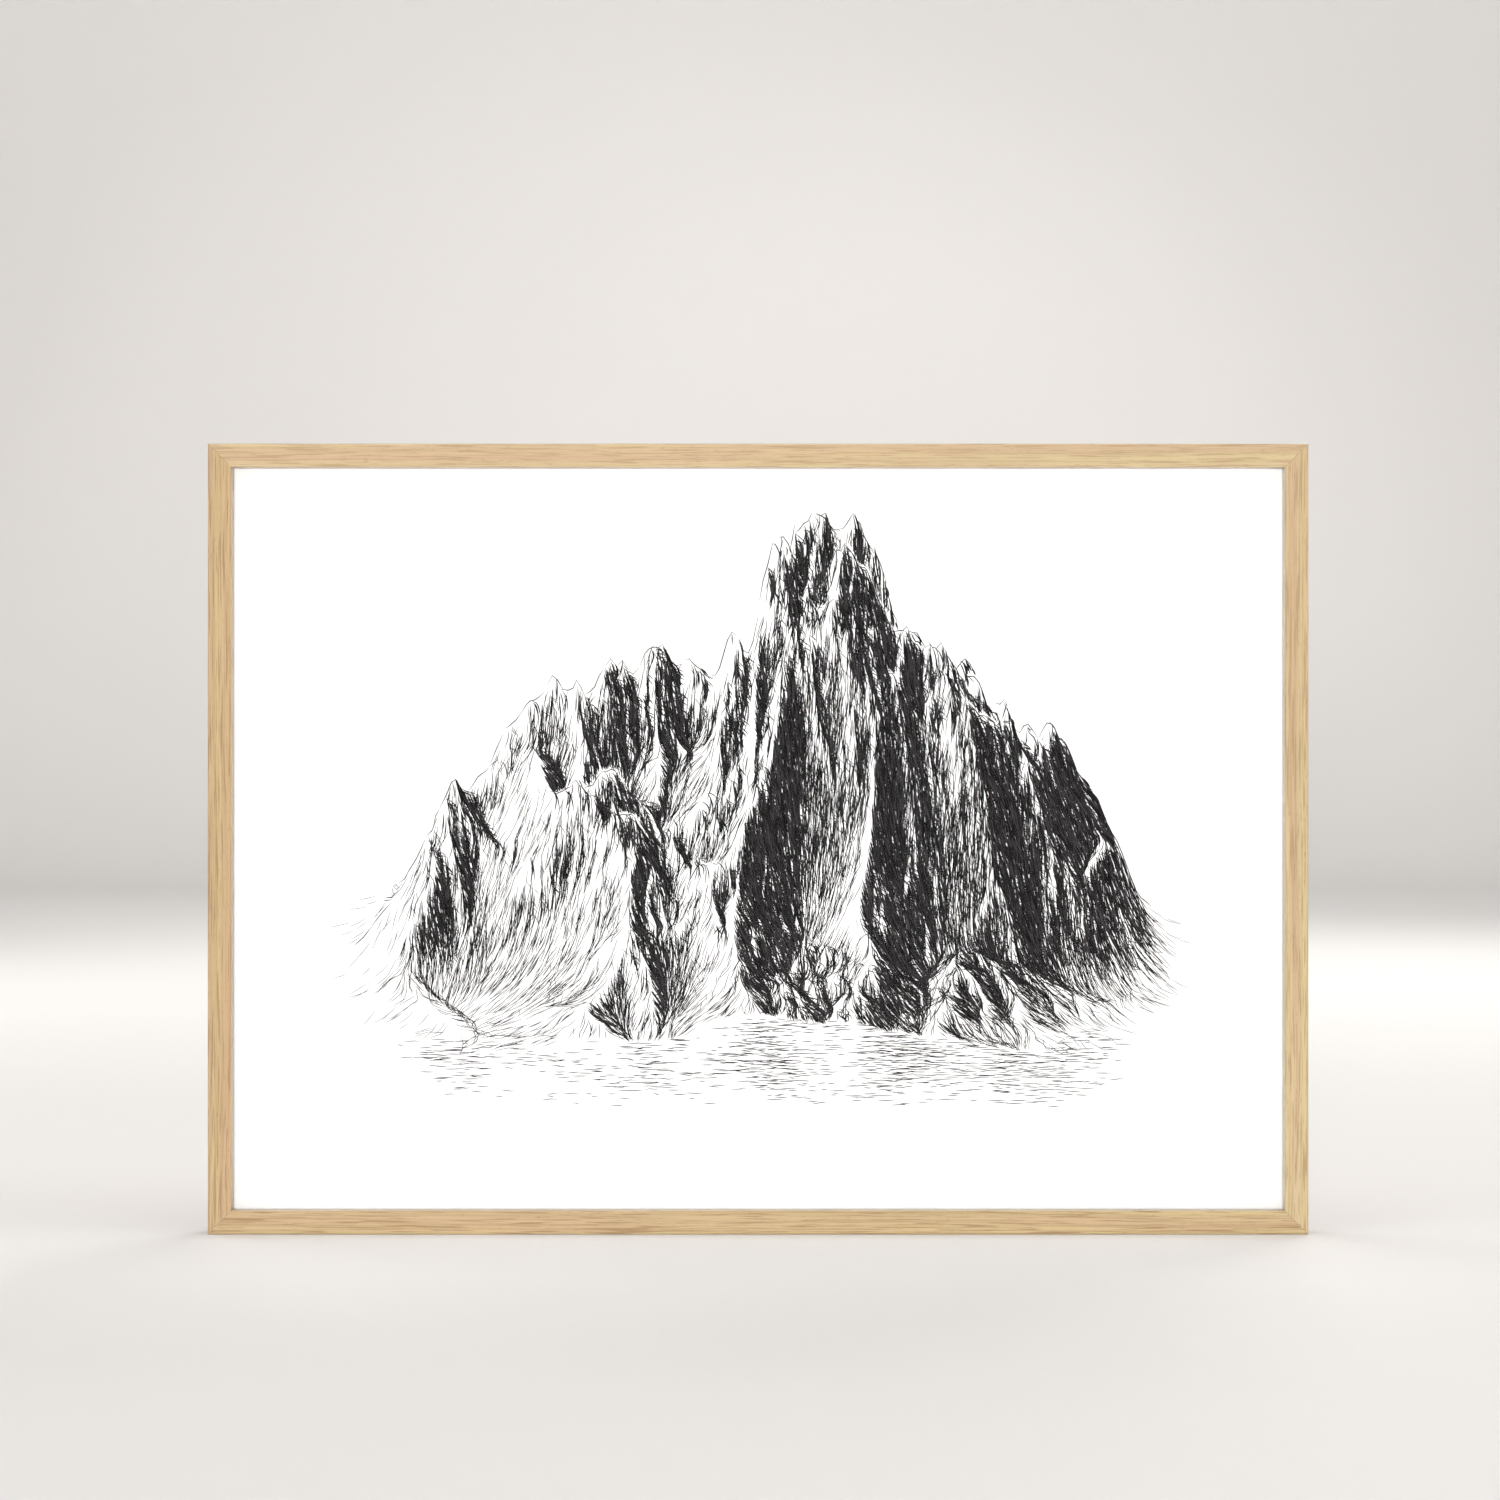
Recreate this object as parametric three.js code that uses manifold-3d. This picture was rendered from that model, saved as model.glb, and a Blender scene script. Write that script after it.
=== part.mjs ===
// A framed print in landscape format. Four mitred lengths of light oak moulding hold a pane
// of glass, an A2 sheet, a filler board and a fibreboard back. Turn buttons keep the back in,
// and two strap hangers with wire rings carry the frame when it hangs.
// Millimetres, +Z up. The picture faces -Y, and the origin is on the floor, below the middle.

import * as THREE from "three";
import { mergeVertices } from "three/addons/utils/BufferGeometryUtils.js";
import Module from "manifold-3d";

const wasm = await Module();
wasm.setup();

// The sheet, and the play that the rebate leaves round it
const SHEET_WIDTH = 594;
const SHEET_HEIGHT = 420;
const SIDE_PLAY = 1.0;
const HEIGHT_PLAY = 1.8;
const GAP = 0.3;

// The moulding: its face seen from the front, its depth, and the lip that covers the glass
const FACE = 13.2;
const DEPTH = 20;
const LIP = 5;
const OUTER_ROUND = 1.1;
const SIGHT_ROUND = 0.6;
const BACK_ROUND = 0.5;
const MITRE_GAP = 0.1;

// What lies in the rebate, from the front to the back
const GLASS_THICKNESS = 2;
const PAPER_THICKNESS = 0.3;
const FILLER_THICKNESS = 5;
const BACK_THICKNESS = 3;

// Screws, in pilot holes in the moulding's back
const SHANK_RADIUS = 1.3;
const SHANK_LENGTH = 11;
const HEAD_RADIUS = 2.9;
const HEAD_RIM = 0.5;
const HEAD_HEIGHT = 1.8;
const RECESS_SPAN = 3.2;
const RECESS_SLOT = 0.65;
const RECESS_DEPTH = 1.0;

// Turn buttons, two on each rail
const BUTTON_RADIUS = 3.5;
const BUTTON_REACH = 16.5;
const BUTTON_THICKNESS = 1;
const BUTTON_ARRIS = 0.15;
const BUTTONS_ACROSS = 300;
const BUTTONS_UP = 150;

// Strap hangers, one on each side rail, with the ring's wire in the strap's curled end
const HANGER_ABOVE_MIDDLE = 115;
const STRAP_WIDTH = 7;
const STRAP_THICKNESS = 0.8;
const STRAP_REACH = 17;
const WIRE_RADIUS = 0.9;
const CURL_END = THREE.MathUtils.degToRad(205);
const RING_HALF_WIDTH = 5.1;
const RING_STRAIGHT = 4.6;
const RING_CORNER = 1.4;
const RING_BUTT = 0.4;

// Bumpers that keep the lower edge off the wall
const BUMPER_RADIUS = 3.7;
const BUMPER_HEIGHT = 3.2;
const BUMPER_ROUND = 1.2;
const BUMPER_FROM_CORNER = 16;

// Worked out from the sizes above
const WALL = FACE - LIP;
const WIDTH = SHEET_WIDTH + 2 * (SIDE_PLAY + WALL);
const HEIGHT = SHEET_HEIGHT + 2 * (HEIGHT_PLAY + WALL);
const HOLE_RADIUS = SHANK_RADIUS + GAP;
const CURL_INNER = WIRE_RADIUS + GAP;
const CURL_OUTER = CURL_INNER + STRAP_THICKNESS;
const RING_AXIS = GAP + CURL_OUTER;
const FRONT_Y = -(DEPTH + RING_AXIS + CURL_OUTER) / 2;
const BACK_Y = FRONT_Y + DEPTH;
const STACK = [
  ["back_board", BACK_THICKNESS, "fibreboard"],
  ["filler_board", FILLER_THICKNESS, "card"],
  ["print_sheet", PAPER_THICKNESS, "paper"],
  ["glazing", GLASS_THICKNESS, "glass"],
];
const STACK_DEPTH = STACK.reduce((sum, [, thickness]) => sum + thickness + GAP, 0);
const LIP_DEPTH = DEPTH - STACK_DEPTH;

// Colour, roughness and metalness of each material
const LOOKS = {
  oak: [0xd6b890, 0.55, 0],
  glass: [0xf4f8f6, 0.05, 0],
  paper: [0xf6f5f1, 0.9, 0],
  card: [0xe9e4d8, 0.9, 0],
  fibreboard: [0xa58763, 0.85, 0],
  zinc: [0xbfc1c2, 0.35, 1],
  rubber: [0x3a3a3a, 0.8, 0],
};

function named(name, geometry, look) {
  const [color, roughness, metalness] = LOOKS[look];
  const material = new THREE.MeshStandardMaterial({ color, roughness, metalness });
  const mesh = new THREE.Mesh(geometry, material);
  mesh.name = name;
  return mesh;
}

function welded(geometry) {
  geometry.deleteAttribute("normal");
  geometry.deleteAttribute("uv");
  return mergeVertices(geometry);
}

function toSolid(geometry) {
  const joined = welded(geometry);
  return new wasm.Manifold(
    new wasm.Mesh({
      numProp: 3,
      vertProperties: joined.attributes.position.array,
      triVerts: new Uint32Array(joined.index.array),
    }),
  );
}

function toGeometry(solid) {
  const cut = solid.getMesh();
  const geometry = new THREE.BufferGeometry();
  geometry.setAttribute("position", new THREE.BufferAttribute(cut.vertProperties, 3));
  geometry.setIndex(new THREE.BufferAttribute(cut.triVerts, 1));
  return geometry;
}

// A flat outline given thickness along Y: the outline's own y runs up, and it grows towards +Y
function plate(outline, thickness, arris, curveSegments) {
  const geometry = new THREE.ExtrudeGeometry(outline, {
    depth: thickness - 2 * arris,
    bevelEnabled: arris > 0,
    bevelThickness: arris,
    bevelSize: arris,
    bevelOffset: -arris,
    bevelSegments: 1,
    curveSegments,
  });
  geometry.rotateX(Math.PI / 2);
  geometry.translate(0, thickness - arris, 0);
  return geometry;
}

// The moulding's section: across is from the outer edge inwards, deep is from front to back
function mouldingSection() {
  const section = new THREE.Shape();
  const quarter = Math.PI / 2;
  section.absarc(OUTER_ROUND, OUTER_ROUND, OUTER_ROUND, 2 * quarter, 3 * quarter, false);
  section.absarc(FACE - SIGHT_ROUND, SIGHT_ROUND, SIGHT_ROUND, -quarter, 0, false);
  section.lineTo(FACE, LIP_DEPTH);
  section.lineTo(WALL, LIP_DEPTH);
  section.lineTo(WALL, DEPTH);
  section.absarc(BACK_ROUND, DEPTH - BACK_ROUND, BACK_ROUND, quarter, 2 * quarter, false);
  return section;
}

// One rail along X below the frame's middle, its ends mitred, with a pilot hole for each screw
function rail(length, fromMiddle, screwsAt) {
  const geometry = new THREE.ExtrudeGeometry(mouldingSection(), {
    depth: 1,
    bevelEnabled: false,
    curveSegments: 5,
  });
  const place = geometry.attributes.position;
  for (let i = 0; i < place.count; i++) {
    const across = place.getX(i);
    const deep = place.getY(i);
    const end = 0.5 - place.getZ(i);
    place.setXYZ(i, end * (length - 2 * across - MITRE_GAP), FRONT_Y + deep, across - fromMiddle);
  }
  let solid = toSolid(geometry);
  for (const along of screwsAt) {
    const hole = new THREE.CylinderGeometry(HOLE_RADIUS, HOLE_RADIUS, 2 * (SHANK_LENGTH + GAP), 16);
    hole.translate(along, BACK_Y, WALL / 2 - fromMiddle);
    solid = solid.subtract(toSolid(hole));
  }
  return toGeometry(solid);
}

// A pan-head screw along Y, its head's underside raised by lift from the moulding's back
function screw(lift) {
  const profile = [
    new THREE.Vector2(0, -SHANK_LENGTH),
    new THREE.Vector2(SHANK_RADIUS, -SHANK_LENGTH + 2 * SHANK_RADIUS),
    new THREE.Vector2(SHANK_RADIUS, lift),
    new THREE.Vector2(HEAD_RADIUS, lift),
  ];
  const steps = 4;
  for (let i = 0; i < steps; i++) {
    const turn = (i / steps) * (Math.PI / 2);
    const up = lift + HEAD_RIM + (HEAD_HEIGHT - HEAD_RIM) * Math.sin(turn);
    profile.push(new THREE.Vector2(HEAD_RADIUS * Math.cos(turn), up));
  }
  profile.push(new THREE.Vector2(0, lift + HEAD_HEIGHT));
  let solid = toSolid(new THREE.LatheGeometry(profile, 16));
  for (const turn of [0, Math.PI / 2]) {
    const slot = new THREE.BoxGeometry(RECESS_SPAN, 2 * RECESS_DEPTH, RECESS_SLOT);
    slot.rotateY(turn);
    slot.translate(0, lift + HEAD_HEIGHT, 0);
    solid = solid.subtract(toSolid(slot));
  }
  return toGeometry(solid);
}

// A turn button with its pivot at the origin, pointing up
function turnButton() {
  const outline = new THREE.Shape();
  outline.absarc(0, 0, BUTTON_RADIUS, Math.PI, 2 * Math.PI, false);
  outline.absarc(0, BUTTON_REACH, BUTTON_RADIUS, 0, Math.PI, false);
  const hole = new THREE.Path();
  hole.absarc(0, 0, HOLE_RADIUS, 0, 2 * Math.PI, true);
  outline.holes.push(hole);
  return plate(outline, BUTTON_THICKNESS, BUTTON_ARRIS, 7);
}

// A strap along +X from its screw at the origin to the curl round the ring's wire
function strap() {
  const side = new THREE.Shape();
  side.moveTo(-STRAP_WIDTH, GAP);
  side.lineTo(STRAP_REACH, GAP);
  side.absarc(STRAP_REACH, RING_AXIS, CURL_OUTER, -Math.PI / 2, CURL_END, false);
  side.absarc(STRAP_REACH, RING_AXIS, CURL_INNER, CURL_END, -Math.PI / 2, true);
  side.lineTo(-STRAP_WIDTH, GAP + STRAP_THICKNESS);
  const bent = new THREE.ExtrudeGeometry(side, {
    depth: STRAP_WIDTH,
    bevelEnabled: false,
    curveSegments: 14,
  });
  bent.translate(0, 0, -STRAP_WIDTH / 2);

  const radius = STRAP_WIDTH / 2;
  const outline = new THREE.Shape();
  outline.moveTo(0, -radius);
  outline.lineTo(STRAP_REACH + STRAP_WIDTH, -radius);
  outline.lineTo(STRAP_REACH + STRAP_WIDTH, radius);
  outline.absarc(0, 0, radius, Math.PI / 2, 1.5 * Math.PI, false);
  const hole = new THREE.Path();
  hole.absarc(0, 0, HOLE_RADIUS, 0, 2 * Math.PI, true);
  outline.holes.push(hole);
  const blank = plate(outline, 3 * CURL_OUTER, 0, 10);
  return toGeometry(toSolid(bent).intersect(toSolid(blank)));
}

// The ring's wire, bent to a D and butted inside the strap's curl, its bar on the Z axis
function ring() {
  const bow = RING_HALF_WIDTH;
  const corner = RING_CORNER;
  const line = new THREE.Path();
  line.moveTo(0, -RING_BUTT / 2);
  line.lineTo(0, corner - bow);
  line.absarc(corner, corner - bow, corner, Math.PI, 1.5 * Math.PI, false);
  line.absarc(RING_STRAIGHT, 0, bow, -Math.PI / 2, Math.PI / 2, false);
  line.absarc(corner, bow - corner, corner, Math.PI / 2, Math.PI, false);
  line.lineTo(0, RING_BUTT / 2);
  const steps = 40;
  const points = line.getSpacedPoints(steps).map((p) => new THREE.Vector3(p.x, 0, p.y));
  const wire = new THREE.Shape();
  wire.absarc(0, 0, WIRE_RADIUS, 0, 2 * Math.PI, false);
  return new THREE.ExtrudeGeometry(wire, {
    extrudePath: new THREE.CatmullRomCurve3(points),
    steps,
    curveSegments: 5,
  });
}

// A soft bumper stuck on the moulding's back
function bumper() {
  const rise = BUMPER_HEIGHT - BUMPER_ROUND;
  const profile = [new THREE.Vector2(0, GAP), new THREE.Vector2(BUMPER_RADIUS, GAP)];
  const steps = 4;
  for (let i = 0; i <= steps; i++) {
    const turn = (i / steps) * (Math.PI / 2);
    const across = BUMPER_RADIUS - BUMPER_ROUND + BUMPER_ROUND * Math.cos(turn);
    profile.push(new THREE.Vector2(across, GAP + rise + BUMPER_ROUND * Math.sin(turn)));
  }
  profile.push(new THREE.Vector2(0, GAP + BUMPER_HEIGHT));
  return new THREE.LatheGeometry(profile, 20);
}

const framedPrint = new THREE.Group();
const middle = new THREE.Group();
middle.position.z = HEIGHT / 2;
framedPrint.add(middle);

// The sheets stand on the bottom rail's rebate, the back board flush with the moulding
const sheetBottom = WALL + GAP - HEIGHT / 2;
let behind = BACK_Y;
for (const [name, thickness, look] of STACK) {
  const sheet = new THREE.BoxGeometry(SHEET_WIDTH, thickness, SHEET_HEIGHT);
  const mesh = named(name, sheet, look);
  mesh.position.set(0, behind - thickness / 2, sheetBottom + SHEET_HEIGHT / 2);
  middle.add(mesh);
  behind -= thickness + GAP;
}

// Each side of the frame is built as the lower one, then turned into place about Y
const LEVEL = { length: WIDTH, from: HEIGHT / 2, buttonsApart: BUTTONS_ACROSS };
const UPRIGHT = { length: HEIGHT, from: WIDTH / 2, buttonsApart: BUTTONS_UP };
const SIDES = [
  { ...LEVEL, side: "bottom", turn: 0, ends: ["left", "right"] },
  { ...UPRIGHT, side: "left", turn: Math.PI / 2, ends: ["upper", "lower"] },
  { ...LEVEL, side: "top", turn: Math.PI, ends: ["right", "left"] },
  { ...UPRIGHT, side: "right", turn: -Math.PI / 2, ends: ["lower", "upper"] },
];

for (const { side, turn, length, from, buttonsApart, ends } of SIDES) {
  const group = new THREE.Group();
  group.rotation.y = turn;
  middle.add(group);

  const screwLine = WALL / 2 - from;
  const buttonsAt = [-buttonsApart / 2, buttonsApart / 2];
  const hangerAt = -Math.sign(Math.round(Math.sin(turn))) * HANGER_ABOVE_MIDDLE;
  const screwsAt = hangerAt ? [...buttonsAt, hangerAt] : buttonsAt;
  group.add(named(`rail_${side}`, rail(length, from, screwsAt), "oak"));

  buttonsAt.forEach((along, index) => {
    const button = named(`turn_button_${side}_${ends[index]}`, turnButton(), "zinc");
    button.position.set(along, BACK_Y + GAP, screwLine);
    const lift = BUTTON_THICKNESS + 2 * GAP;
    const fixing = named(`button_screw_${side}_${ends[index]}`, screw(lift), "zinc");
    fixing.position.set(along, BACK_Y, screwLine);
    group.add(button, fixing);
  });

  if (hangerAt) {
    const hanger = new THREE.Group();
    hanger.position.set(hangerAt, BACK_Y, screwLine);
    hanger.rotation.y = -Math.PI / 2;
    const wireRing = named(`hanger_ring_${side}`, ring(), "zinc");
    wireRing.position.set(STRAP_REACH, RING_AXIS, 0);
    hanger.add(named(`hanger_strap_${side}`, strap(), "zinc"), wireRing);
    hanger.add(named(`hanger_screw_${side}`, screw(STRAP_THICKNESS + 2 * GAP), "zinc"));
    group.add(hanger);
  }
}

for (const [side, sign] of [["left", -1], ["right", 1]]) {
  const foot = named(`bumper_${side}`, bumper(), "rubber");
  foot.position.set(sign * (WIDTH / 2 - BUMPER_FROM_CORNER), BACK_Y, WALL / 2 - HEIGHT / 2);
  middle.add(foot);
}

export default framedPrint;
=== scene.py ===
import math

import bpy
import numpy as np
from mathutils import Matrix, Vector


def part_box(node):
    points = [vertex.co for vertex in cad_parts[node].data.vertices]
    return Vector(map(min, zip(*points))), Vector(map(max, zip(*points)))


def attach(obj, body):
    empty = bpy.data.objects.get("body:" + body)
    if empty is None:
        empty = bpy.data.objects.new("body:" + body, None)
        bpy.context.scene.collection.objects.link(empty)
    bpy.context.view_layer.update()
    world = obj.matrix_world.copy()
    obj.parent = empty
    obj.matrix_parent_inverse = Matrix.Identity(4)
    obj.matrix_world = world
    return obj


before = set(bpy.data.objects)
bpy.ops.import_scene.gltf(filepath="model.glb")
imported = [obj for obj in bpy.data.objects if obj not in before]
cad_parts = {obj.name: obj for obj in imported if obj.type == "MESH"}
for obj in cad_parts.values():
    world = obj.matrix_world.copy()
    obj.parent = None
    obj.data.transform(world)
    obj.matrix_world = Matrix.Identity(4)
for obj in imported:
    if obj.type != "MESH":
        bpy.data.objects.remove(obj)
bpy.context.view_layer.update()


# Camera, at the height of a low stool and square to the frame, two metres in front of its face.
# The view is level, so the frame's four edges stay upright and level in the picture.
camera_data = bpy.data.cameras.new("camera")
camera_data.sensor_width = 36.0
camera_data.lens = 86.3
camera = bpy.data.objects.new("camera", camera_data)
camera.location = (-0.0045, -2.0121, 0.2695)
camera.rotation_euler = (math.radians(90), 0, 0)
bpy.context.collection.objects.link(camera)
bpy.context.scene.camera = camera


# Pale matt floor, round and wide: one seamless sheet of painted board.
# Far off it curves up on every side into a low rim, so that no edge or corner shows in any view.
FLOOR_RADIUS = 5.2
SWEEP_RADIUS = 1.0
SWEEP_STEPS = 10
RIM_TOP = 2.4
FLOOR_SIDES = 96
FLOOR_COLOUR = (0.775, 0.750, 0.724, 1)
FLOOR_ROUGHNESS = 0.75
profile = [(FLOOR_RADIUS, 0.0)]
for step in range(1, SWEEP_STEPS + 1):
    angle = step / SWEEP_STEPS * math.pi / 2
    out = FLOOR_RADIUS + SWEEP_RADIUS * math.sin(angle)
    up = SWEEP_RADIUS * (1 - math.cos(angle))
    profile.append((out, up))
profile.append((FLOOR_RADIUS + SWEEP_RADIUS, RIM_TOP))
sweep_points = [(0.0, 0.0, 0.0)]
for side in range(FLOOR_SIDES):
    angle = side / FLOOR_SIDES * 2 * math.pi
    sweep_points += [(out * math.cos(angle), out * math.sin(angle), up) for out, up in profile]
ring = len(profile)
sweep_faces = []
for side in range(FLOOR_SIDES):
    here = 1 + side * ring
    beside = 1 + (side + 1) % FLOOR_SIDES * ring
    sweep_faces.append((0, here, beside))
    sweep_faces += [(here + k, here + k + 1, beside + k + 1, beside + k) for k in range(ring - 1)]
sweep_mesh = bpy.data.meshes.new("floor_sweep")
sweep_mesh.from_pydata(sweep_points, [], sweep_faces)
sweep_mesh.shade_smooth()
floor_sweep = bpy.data.objects.new("floor_sweep", sweep_mesh)
bpy.context.collection.objects.link(floor_sweep)
paint = bpy.data.materials.new("floor_paint")
paint.use_nodes = True
paint.node_tree.nodes["Principled BSDF"].inputs["Base Color"].default_value = FLOOR_COLOUR
paint.node_tree.nodes["Principled BSDF"].inputs["Roughness"].default_value = FLOOR_ROUGHNESS
sweep_mesh.materials.append(paint)


# Soft studio light: two round lamps in front, whose narrow, soft-edged beams spare the floor and
# aren't mirrored in the glass; and square panels, one at each side, two behind, one over the floor,
# and four turned outwards to the floor's rim.
FRAME_MIDDLE = (0.0, 0.0, 0.22)
BEAM_SPREAD = math.radians(22)
BEAM_FADE = 0.6
RIM_PANEL_SIZE = 2.0
RIM_PANEL_OUT = 2.6
RIM_PANEL_UP = 3.1
RIM_AIM_OUT = 6.0
RIM_AIM_UP = 1.1
RIM_PANELS = {"rear": (90, 76.0), "left": (180, 52.0), "right": (0, 52.0), "front": (-90, 46.0)}
WHITE_LIGHT = (1, 1, 1)
SKY_COLOUR = (0.95, 0.965, 1.0, 1)
SKY_STRENGTH = 0.21


def hang_lamp(light, place, aim, mirrored):
    """Hangs a light at place, turned towards aim, out of the camera's sight."""
    lamp = bpy.data.objects.new(light.name, light)
    lamp.location = place
    lamp.rotation_euler = (Vector(aim) - Vector(place)).to_track_quat("-Z", "Y").to_euler()
    lamp.visible_camera = False
    lamp.visible_glossy = mirrored
    bpy.context.collection.objects.link(lamp)


def front_beam(name, place, radius, power, tint):
    lamp = bpy.data.lights.new(name, "SPOT")
    lamp.shadow_soft_size = radius
    lamp.energy = power
    lamp.color = tint
    lamp.spot_size = BEAM_SPREAD
    lamp.spot_blend = BEAM_FADE
    hang_lamp(lamp, place, FRAME_MIDDLE, mirrored=False)


def soft_panel(name, place, aim, size, power, tint):
    panel = bpy.data.lights.new(name, "AREA")
    panel.shape = "SQUARE"
    panel.size = size
    panel.energy = power
    panel.color = tint
    hang_lamp(panel, place, aim, mirrored=True)


front_beam("key_beam", (-0.5, -4.7, 0.46), 0.20, 317.0, (1.0, 0.99, 0.97))
front_beam("fill_beam", (0.15, -4.8, 0.36), 0.27, 537.0, (1.0, 0.995, 1.0))
soft_panel("left_panel", (-3.3, -2.4, 1.3), FRAME_MIDDLE, 1.4, 26.0, (1.0, 0.99, 0.98))
soft_panel("right_panel", (3.3, -0.9, 1.4), FRAME_MIDDLE, 1.4, 24.0, (0.99, 0.99, 1.0))
soft_panel("back_panel", (1.2, 2.4, 2.0), FRAME_MIDDLE, 1.6, 34.0, (1.0, 0.99, 0.97))
soft_panel("far_panel", (-1.9, 1.7, 1.2), FRAME_MIDDLE, 1.6, 18.0, (0.98, 0.99, 1.0))
soft_panel("floor_panel", (0.0, -0.2, 3.0), (0.0, 0.1, 0.0), 2.4, 47.0, (1.0, 0.99, 0.98))
for side, (turn, power) in RIM_PANELS.items():
    outwards = Vector((math.cos(math.radians(turn)), math.sin(math.radians(turn)), 0.0))
    place = outwards * RIM_PANEL_OUT + Vector((0, 0, RIM_PANEL_UP))
    aim = outwards * RIM_AIM_OUT + Vector((0, 0, RIM_AIM_UP))
    soft_panel(side + "_rim_panel", place, aim, RIM_PANEL_SIZE, power, WHITE_LIGHT)
world = bpy.data.worlds.new("studio")
world.use_nodes = True
world.node_tree.nodes["Background"].inputs["Color"].default_value = SKY_COLOUR
world.node_tree.nodes["Background"].inputs["Strength"].default_value = SKY_STRENGTH
bpy.context.scene.world = world
bpy.context.scene.view_settings.view_transform = "Standard"


# Four rails of light oak moulding, mitred and glued at the corners, with a satin clear finish.
# Each is cut from its own length, so the straight grain runs along it and differs from its
# neighbours': pale yellow and pinkish bands, fine darker streaks and short open pores.
OAK_PALE = (0.472, 0.363, 0.194, 1)
OAK_PINK = (0.451, 0.306, 0.187, 1)
OAK_STREAK = (0.294, 0.194, 0.097, 1)
OAK_PORE = (0.185, 0.109, 0.051, 1)
SATIN_COAT = {"Coat Weight": 0.5, "Coat Roughness": 0.2, "IOR": 1.48}
# How often each pattern of the wood changes in a metre, along the grain and twice across it.
SWAY_PER_METRE = (5, 12, 12)
BANDS_PER_METRE = (1.0, 150, 150)
LINES_PER_METRE = (5, 900, 900)
STREAKS_PER_METRE = (4.5, 420, 420)
TICKS_PER_METRE = (32, 1200, 1200)
PORES_PER_METRE = (190, 3600, 3600)
GRAIN_SWAY = 0.002
PORE_DEPTH = 0.00006


class Finish:
    """A material being built: its tree, its shader, and the texture place that its patterns read."""

    def __init__(self, name):
        self.material = bpy.data.materials.new(name)
        self.material.use_nodes = True
        self.tree = self.material.node_tree
        self.shader = self.tree.nodes["Principled BSDF"]
        self.place = self.tree.nodes.new("ShaderNodeTexCoord").outputs["Object"]

    def node(self, kind, **settings):
        made = self.tree.nodes.new(kind)
        for key, value in settings.items():
            setattr(made, key, value)
        return made

    def join(self, output, socket):
        self.tree.links.new(output, socket)

    def mapped(self, place, scale=(1, 1, 1), turn=(0, 0, 0), shift=(0, 0, 0)):
        """The place, turned in radians, stretched and shifted."""
        mapping = self.node("ShaderNodeMapping")
        self.join(place, mapping.inputs["Vector"])
        mapping.inputs["Scale"].default_value = scale
        mapping.inputs["Rotation"].default_value = turn
        mapping.inputs["Location"].default_value = shift
        return mapping.outputs["Vector"]

    def noise(self, place, scale, detail=2.0, roughness=0.5):
        made = self.node("ShaderNodeTexNoise")
        self.join(place, made.inputs["Vector"])
        made.inputs["Scale"].default_value = scale
        made.inputs["Detail"].default_value = detail
        made.inputs["Roughness"].default_value = roughness
        return made.outputs["Fac"]

    def band(self, value, low, high, to_low=0.0, to_high=1.0):
        """Stretches value from low..high to to_low..to_high, and holds it there."""
        made = self.node("ShaderNodeMapRange")
        self.join(value, made.inputs["Value"])
        made.inputs["From Min"].default_value = low
        made.inputs["From Max"].default_value = high
        made.inputs["To Min"].default_value = to_low
        made.inputs["To Max"].default_value = to_high
        return made.outputs["Result"]

    def math(self, operation, first, second):
        made = self.node("ShaderNodeMath", operation=operation)
        for socket, value in zip(made.inputs, (first, second)):
            if isinstance(value, (int, float)):
                socket.default_value = value
            else:
                self.join(value, socket)
        return made.outputs["Value"]

    def mix(self, amount, first, second, blend="MIX"):
        """Two colours, mixed by amount."""
        made = self.node("ShaderNodeMix", data_type="RGBA", blend_type=blend)
        sockets = (made.inputs[0], made.inputs[6], made.inputs[7])
        for socket, value in zip(sockets, (amount, first, second)):
            if isinstance(value, (int, float, tuple)):
                socket.default_value = value
            else:
                self.join(value, socket)
        return made.outputs[2]

    def relief(self, height, distance, strength):
        made = self.node("ShaderNodeBump")
        made.inputs["Strength"].default_value = strength
        made.inputs["Distance"].default_value = distance
        self.join(height, made.inputs["Height"])
        self.join(made.outputs["Normal"], self.shader.inputs["Normal"])

    def finish(self, colour, roughness, **constants):
        self.join(colour, self.shader.inputs["Base Color"])
        self.join(roughness, self.shader.inputs["Roughness"])
        for key, value in constants.items():
            self.shader.inputs[key].default_value = value
        return self.material


def wear(node, material):
    """Gives a carried-over CAD node its finish."""
    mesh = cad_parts[node].data
    mesh.materials.clear()
    mesh.materials.append(material)


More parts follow.
